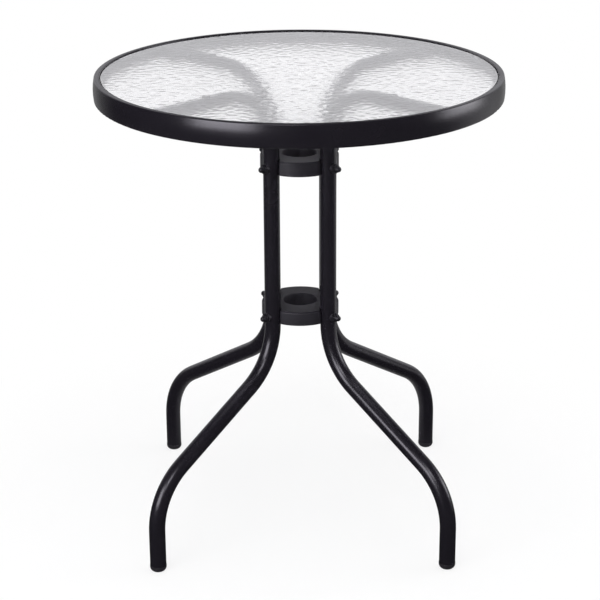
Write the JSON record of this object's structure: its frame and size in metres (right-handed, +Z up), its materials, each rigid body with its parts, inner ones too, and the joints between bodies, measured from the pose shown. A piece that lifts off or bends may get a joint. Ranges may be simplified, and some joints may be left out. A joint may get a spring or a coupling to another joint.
{
  "type": "round patio table",
  "caption": "Round patio table: rippled glass in a rolled steel rim on bent tube legs, bolted to two moulded hubs with pole bores.",
  "frame": {"origin": "on the floor, in the middle under the top", "axes": "+Z up, -Y the front, +X to the right seen from the front; the legs stand at 45 degrees to X and Y"},
  "size_m": [0.6, 0.6, 0.7],
  "materials": {
    "frame_paint": "satin black powder coat",
    "hub_plastic": "moulded black plastic",
    "fixing_plastic": "moulded black plastic",
    "fixing_black": "black coated steel",
    "zinc_steel": "zinc plated",
    "foot_plastic": "moulded black plastic",
    "pad_rubber": "soft rubber",
    "ripple_glass": "toughened glass, rippled underneath"
  },
  "bodies": {
    "frame": {"rim_ring": "frame_paint", "hub_lower": "hub_plastic", "hub_upper": "hub_plastic", "hub_bolts_lower": "zinc_steel", "hub_bolts_upper": "zinc_steel", "saddle_washers_lower": "fixing_plastic", "saddle_washers_upper": "fixing_plastic", "cap_nuts_lower": "fixing_black", "cap_nuts_upper": "fixing_black", "arm_screws": "fixing_black", "arm_washers": "fixing_black", "arm_nuts": "zinc_steel", "leg_tube_front_left": "frame_paint", "leg_tube_front_right": "frame_paint", "leg_tube_rear_left": "frame_paint", "leg_tube_rear_right": "frame_paint", "foot_cap_front_left": "foot_plastic", "foot_cap_front_right": "foot_plastic", "foot_cap_rear_left": "foot_plastic", "foot_cap_rear_right": "foot_plastic", "rim_bracket_front_left": "frame_paint", "rim_bracket_front_right": "frame_paint", "rim_bracket_rear_left": "frame_paint", "rim_bracket_rear_right": "frame_paint", "glass_pad_front_left": "pad_rubber", "glass_pad_front_right": "pad_rubber", "glass_pad_rear_left": "pad_rubber", "glass_pad_rear_right": "pad_rubber"},
    "glass": {"glass_top": "ripple_glass"}
  },
  "joints": [
    {"name": "glass_lift", "type": "slide", "parent": "frame", "child": "glass", "axis": [0, 0, 1], "range_m": [0, 0.05]}
  ]
}
